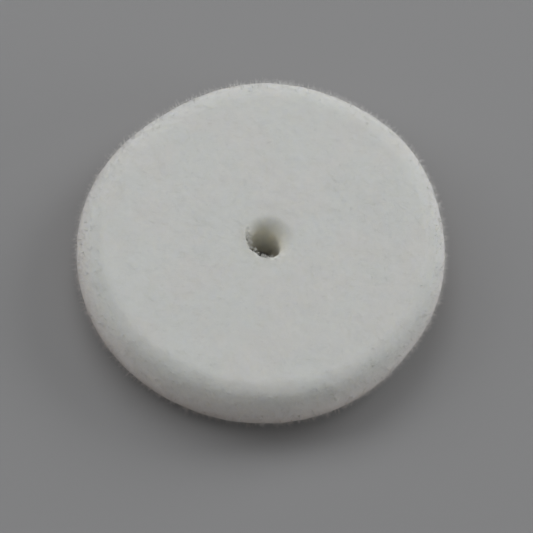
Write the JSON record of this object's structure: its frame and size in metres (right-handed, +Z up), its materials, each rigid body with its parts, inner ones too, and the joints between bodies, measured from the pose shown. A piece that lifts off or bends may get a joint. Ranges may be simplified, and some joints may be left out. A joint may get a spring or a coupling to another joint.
{
  "type": "felt polishing wheel",
  "caption": "Flat round polishing wheel of solid pressed wool felt, with soft rounded edges and a plain arbor hole through its centre.",
  "frame": {"origin": "the wheel's centre: on the arbor hole's axis, halfway between the two flat faces", "axes": "+Z along the arbor hole, square to the flat faces; the wheel lies flat with +Z up; X and Y are any two directions across the wheel"},
  "size_m": [0.0762, 0.0762, 0.0126],
  "materials": {
    "felt": "undyed white pressed wool felt, matte, with a short fibre nap"
  },
  "bodies": {
    "root": {"felt_wheel": "felt"}
  },
  "joints": []
}
